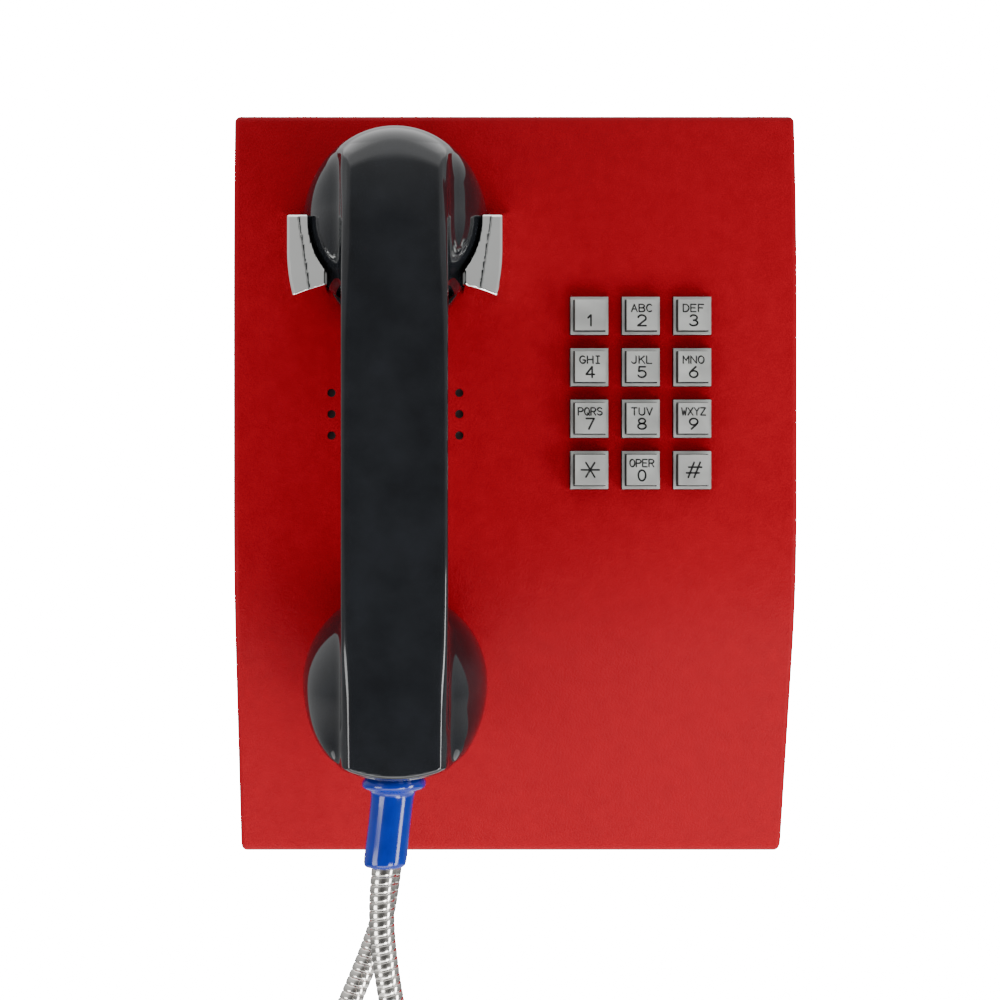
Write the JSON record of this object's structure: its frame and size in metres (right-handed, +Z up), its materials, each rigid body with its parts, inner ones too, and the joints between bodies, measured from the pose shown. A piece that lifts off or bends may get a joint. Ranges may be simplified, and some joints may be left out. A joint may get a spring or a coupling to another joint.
{
  "type": "payphone",
  "caption": "Coinless wall payphone: curved steel housing, handset held in a chromed cradle, metal push keys and an armoured cord.",
  "frame": {"origin": "centre of the four wall holes, on the wall plane at the back of the housing", "axes": "+X to the right as the user faces it, +Y into the wall, +Z up"},
  "size_m": [0.2063, 0.1345, 0.5175],
  "materials": {
    "red_coat": "fine textured powder coat, satin",
    "plated_steel": "bright zinc plate",
    "seal_rubber": "matt black rubber",
    "chrome": "polished chrome plate",
    "black_plastic": "glossy black plastic",
    "key_metal": "satin chromed zinc",
    "circuit_board": "green solder mask",
    "inner_plastic": "moulded component plastic",
    "speaker_wire": "fine woven steel mesh",
    "brass": "plain brass",
    "wiring": "soft insulation",
    "handset_plastic": "high gloss black with a faint blue cast",
    "capsule_metal": "pressed aluminium",
    "blue_boot": "glossy blue moulded plastic",
    "hose_steel": "interlocked stainless strip"
  },
  "bodies": {
    "housing": {"front_shell": "red_coat", "back_plate": "plated_steel", "cover_tabs": "plated_steel", "rear_seal": "seal_rubber", "cover_screws": "plated_steel", "cable_grommet": "seal_rubber", "panel_studs": "plated_steel", "stud_nuts": "plated_steel", "cradle_body": "chrome", "cradle_screws": "plated_steel", "hook_bracket": "plated_steel", "hook_pivot_pin": "plated_steel", "hook_spring": "plated_steel", "hook_switch": "inner_plastic", "keypad_frame": "key_metal", "keypad_gasket": "seal_rubber", "keypad_mat": "seal_rubber", "keypad_board": "circuit_board", "keypad_ribbon": "wiring", "ringer_speaker": "inner_plastic", "speaker_mesh": "speaker_wire", "main_board": "circuit_board", "board_standoffs": "brass", "board_screws": "plated_steel", "terminal_block": "inner_plastic", "board_components": "inner_plastic", "line_harness": "wiring", "cord_gland": "plated_steel", "gland_nut": "plated_steel", "cord_anchor": "plated_steel", "armoured_cord": "hose_steel"},
    "handset": {"handset_body": "handset_plastic", "ear_cap": "handset_plastic", "mouth_cap": "handset_plastic", "receiver_capsule": "capsule_metal", "microphone_capsule": "capsule_metal", "capsule_seals": "seal_rubber", "handset_wiring": "wiring", "cord_boot": "blue_boot"},
    "hook_lever": {"hook_lever": "black_plastic"},
    "key_1": {"key_1": "key_metal"},
    "key_2": {"key_2": "key_metal"},
    "key_3": {"key_3": "key_metal"},
    "key_4": {"key_4": "key_metal"},
    "key_5": {"key_5": "key_metal"},
    "key_6": {"key_6": "key_metal"},
    "key_7": {"key_7": "key_metal"},
    "key_8": {"key_8": "key_metal"},
    "key_9": {"key_9": "key_metal"},
    "key_star": {"key_star": "key_metal"},
    "key_0": {"key_0": "key_metal"},
    "key_hash": {"key_hash": "key_metal"}
  },
  "joints": [
    {"name": "handset_lift", "type": "slide", "parent": "housing", "child": "handset", "axis": [0, 0, 1], "range_m": [0, 0.06]},
    {"name": "hook_pivot", "type": "hinge", "parent": "housing", "child": "hook_lever", "pos_m": [-0.04, -0.058, 0.066], "axis": [-1, 0, 0], "range_deg": [0, 12.5], "stiffness_Nm_per_rad": 0.05, "springref_deg": 14.9, "deforming": ["hook_spring"]},
    {"name": "key_1_press", "type": "slide", "parent": "housing", "child": "key_1", "axis": [0, 1, 0], "range_m": [0, 0.0012], "stiffness_N_per_m": 1500},
    {"name": "key_2_press", "type": "slide", "parent": "housing", "child": "key_2", "axis": [0, 1, 0], "range_m": [0, 0.0012], "stiffness_N_per_m": 1500},
    {"name": "key_3_press", "type": "slide", "parent": "housing", "child": "key_3", "axis": [0, 1, 0], "range_m": [0, 0.0012], "stiffness_N_per_m": 1500},
    {"name": "key_4_press", "type": "slide", "parent": "housing", "child": "key_4", "axis": [0, 1, 0], "range_m": [0, 0.0012], "stiffness_N_per_m": 1500},
    {"name": "key_5_press", "type": "slide", "parent": "housing", "child": "key_5", "axis": [0, 1, 0], "range_m": [0, 0.0012], "stiffness_N_per_m": 1500},
    {"name": "key_6_press", "type": "slide", "parent": "housing", "child": "key_6", "axis": [0, 1, 0], "range_m": [0, 0.0012], "stiffness_N_per_m": 1500},
    {"name": "key_7_press", "type": "slide", "parent": "housing", "child": "key_7", "axis": [0, 1, 0], "range_m": [0, 0.0012], "stiffness_N_per_m": 1500},
    {"name": "key_8_press", "type": "slide", "parent": "housing", "child": "key_8", "axis": [0, 1, 0], "range_m": [0, 0.0012], "stiffness_N_per_m": 1500},
    {"name": "key_9_press", "type": "slide", "parent": "housing", "child": "key_9", "axis": [0, 1, 0], "range_m": [0, 0.0012], "stiffness_N_per_m": 1500},
    {"name": "key_star_press", "type": "slide", "parent": "housing", "child": "key_star", "axis": [0, 1, 0], "range_m": [0, 0.0012], "stiffness_N_per_m": 1500},
    {"name": "key_0_press", "type": "slide", "parent": "housing", "child": "key_0", "axis": [0, 1, 0], "range_m": [0, 0.0012], "stiffness_N_per_m": 1500},
    {"name": "key_hash_press", "type": "slide", "parent": "housing", "child": "key_hash", "axis": [0, 1, 0], "range_m": [0, 0.0012], "stiffness_N_per_m": 1500}
  ],
  "couplings": [
    {"joint": "hook_pivot", "follows": "handset_lift", "rad_per_m": 3.4907}
  ]
}
